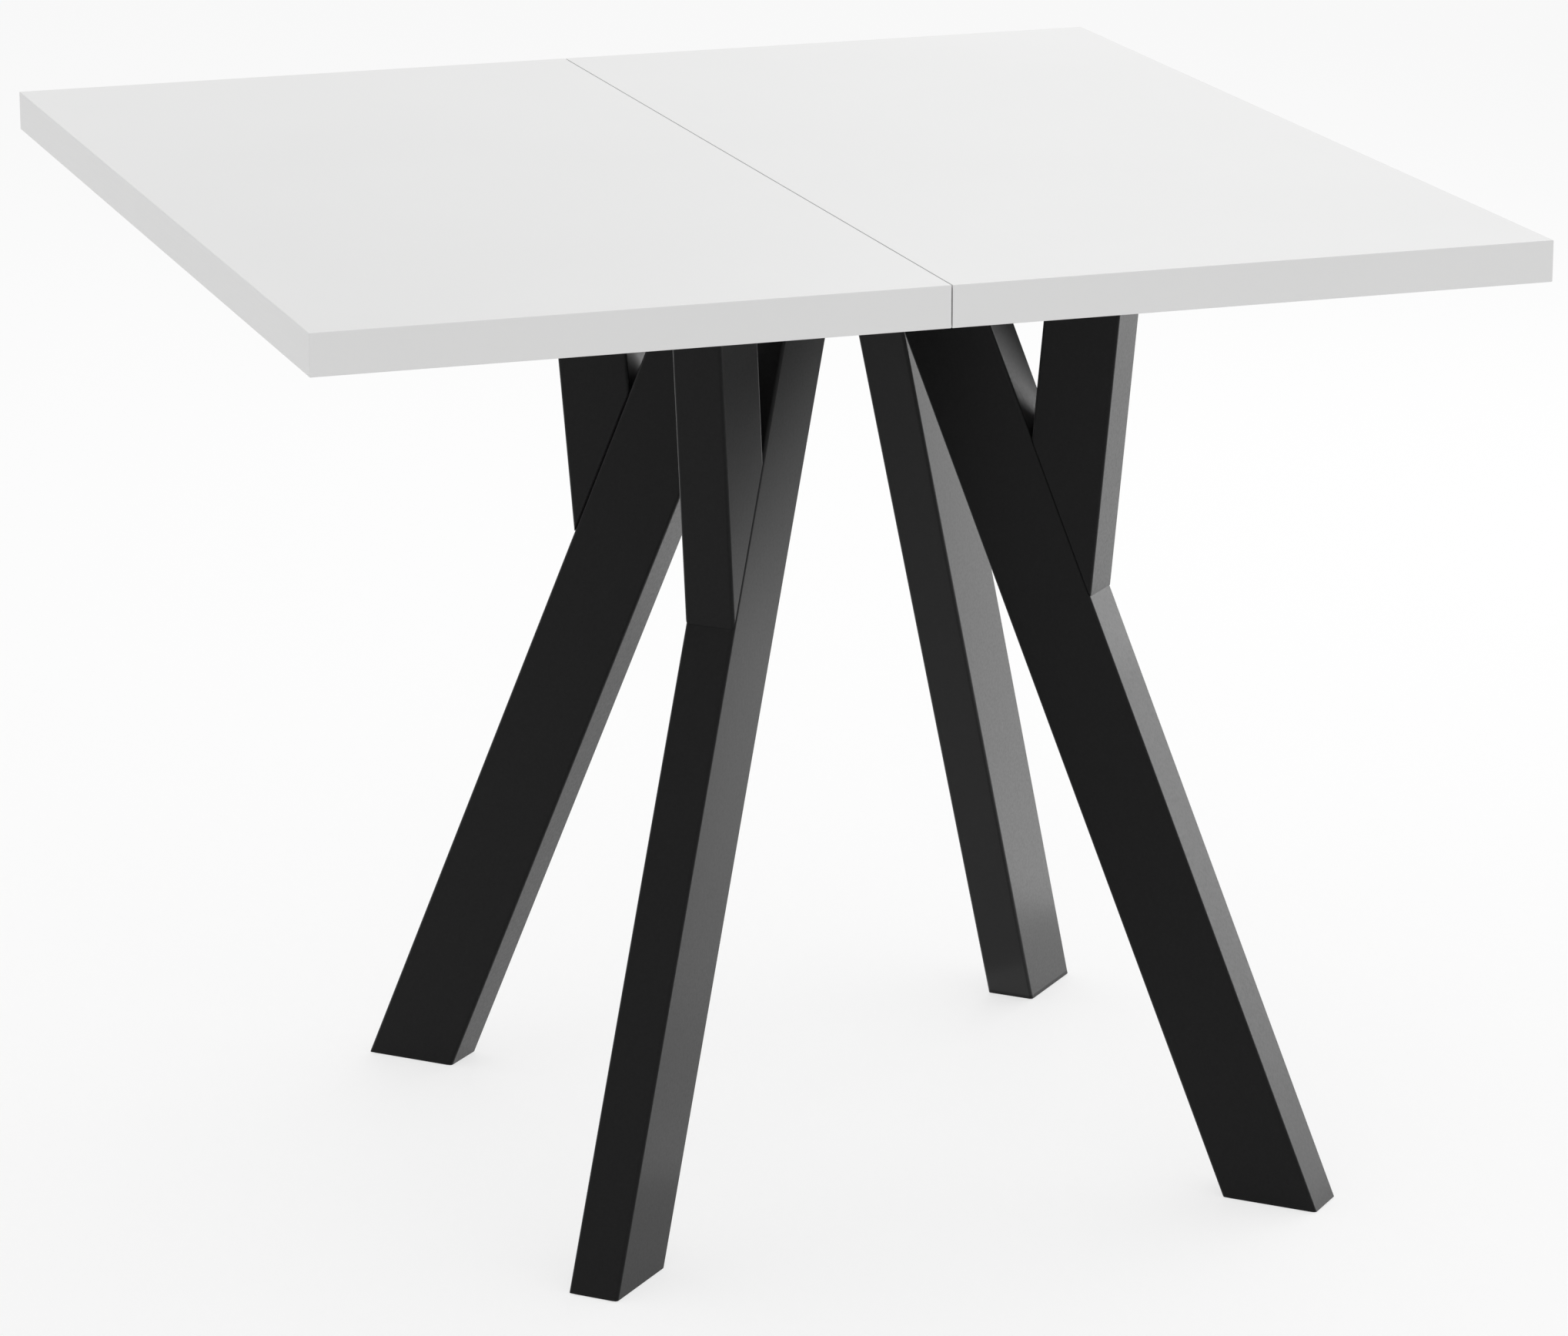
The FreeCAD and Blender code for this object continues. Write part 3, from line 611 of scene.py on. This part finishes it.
class TABLE_OT_glides(bpy.types.Operator):
    """Dresses the pads and the washer that the top turns on"""
    bl_idname = "table.dress_glides"
    bl_label = "Glides"

    def execute(self, context):
        fittings = context.scene.table_fittings
        dress(pieces_named("glide_pad", "glide_washer"), moulded("grey_nylon", fittings.nylon, fittings))
        return {"FINISHED"}


class TABLE_OT_fasteners(bpy.types.Operator):
    """Dresses the zinc-plated bolts, nuts, washers, screws and plates, and the brass bush"""
    bl_idname = "table.dress_fasteners"
    bl_label = "Fasteners and pivot"

    def execute(self, context):
        fittings = context.scene.table_fittings
        zinc = brushed_metal("zinc_plate", fittings.zinc, fittings, PLATED_BLOTCHES)
        plated = ("leg_bolt", "rail_weld_nuts", "pivot_", "swivel_plate", "stop_pin", "hinge_screws")
        dress(pieces_named(*plated), zinc)
        brass = brushed_metal("turned_brass", fittings.brass, fittings, TURNED_RINGS)
        dress(pieces_named("pivot_bush"), brass)
        return {"FINISHED"}


class TABLE_OT_hinges(bpy.types.Operator):
    """Dresses the hinge cups and links"""
    bl_idname = "table.dress_hinges"
    bl_label = "Hinges"

    def execute(self, context):
        fittings = context.scene.table_fittings
        nickel = brushed_metal("satin_nickel", fittings.nickel, fittings, ALONG_SEAM)
        dress(pieces_named("hinge_cup", "hinge_link"), nickel)
        return {"FINISHED"}


class TABLE_OT_stage(bpy.types.Operator):
    """Sets the floor, the light and the camera"""
    bl_idname = "table.set_stage"
    bl_label = "Stage"

    def execute(self, context):
        stage = context.scene.table_stage
        clear_start_up(context)
        lay_floor(context, stage)
        light_all_round(context, stage)
        hang_key(context, stage)
        stand_side_lamp(context, stage)
        lay_floor_cards(context, stage)
        stand_leg_cards(context, stage)
        hang_painted_shade_card(context, stage)
        stand_camera(context, stage)
        context.scene.view_settings.view_transform = "Standard"
        return {"FINISHED"}


# Panel and registration
SETTINGS = {
    "table_leaves": TABLE_PG_leaves,
    "table_steel": TABLE_PG_steel,
    "table_fittings": TABLE_PG_fittings,
    "table_stage": TABLE_PG_stage,
}
OPERATORS = (
    TABLE_OT_leaves,
    TABLE_OT_legs,
    TABLE_OT_plugs,
    TABLE_OT_glides,
    TABLE_OT_fasteners,
    TABLE_OT_hinges,
    TABLE_OT_stage,
)


class TABLE_PT_panel(bpy.types.Panel):
    """Lists the operators and their settings"""
    bl_idname = "TABLE_PT_panel"
    bl_label = "Folding console table"
    bl_space_type = "VIEW_3D"
    bl_region_type = "UI"
    bl_category = "Table"

    def draw(self, context):
        for operator in OPERATORS:
            self.layout.operator(operator.bl_idname)
        for name, group in SETTINGS.items():
            box = self.layout.box()
            for setting in group.__annotations__:
                box.prop(getattr(context.scene, name), setting)


CLASSES = (*SETTINGS.values(), *OPERATORS, TABLE_PT_panel)


def register():
    """Makes the settings, operators and panel known."""
    for each in CLASSES:
        bpy.utils.register_class(each)
    for name, group in SETTINGS.items():
        setattr(bpy.types.Scene, name, PointerProperty(type=group))


def unregister():
    """Takes them away again."""
    for name in SETTINGS:
        delattr(bpy.types.Scene, name)
    for each in reversed(CLASSES):
        bpy.utils.unregister_class(each)


def main():
    """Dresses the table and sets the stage."""
    register()
    bpy.ops.table.dress_leaves()
    bpy.ops.table.dress_legs()
    bpy.ops.table.dress_plugs()
    bpy.ops.table.dress_glides()
    bpy.ops.table.dress_fasteners()
    bpy.ops.table.dress_hinges()
    bpy.ops.table.set_stage()


if __name__ == "__main__":
    main()
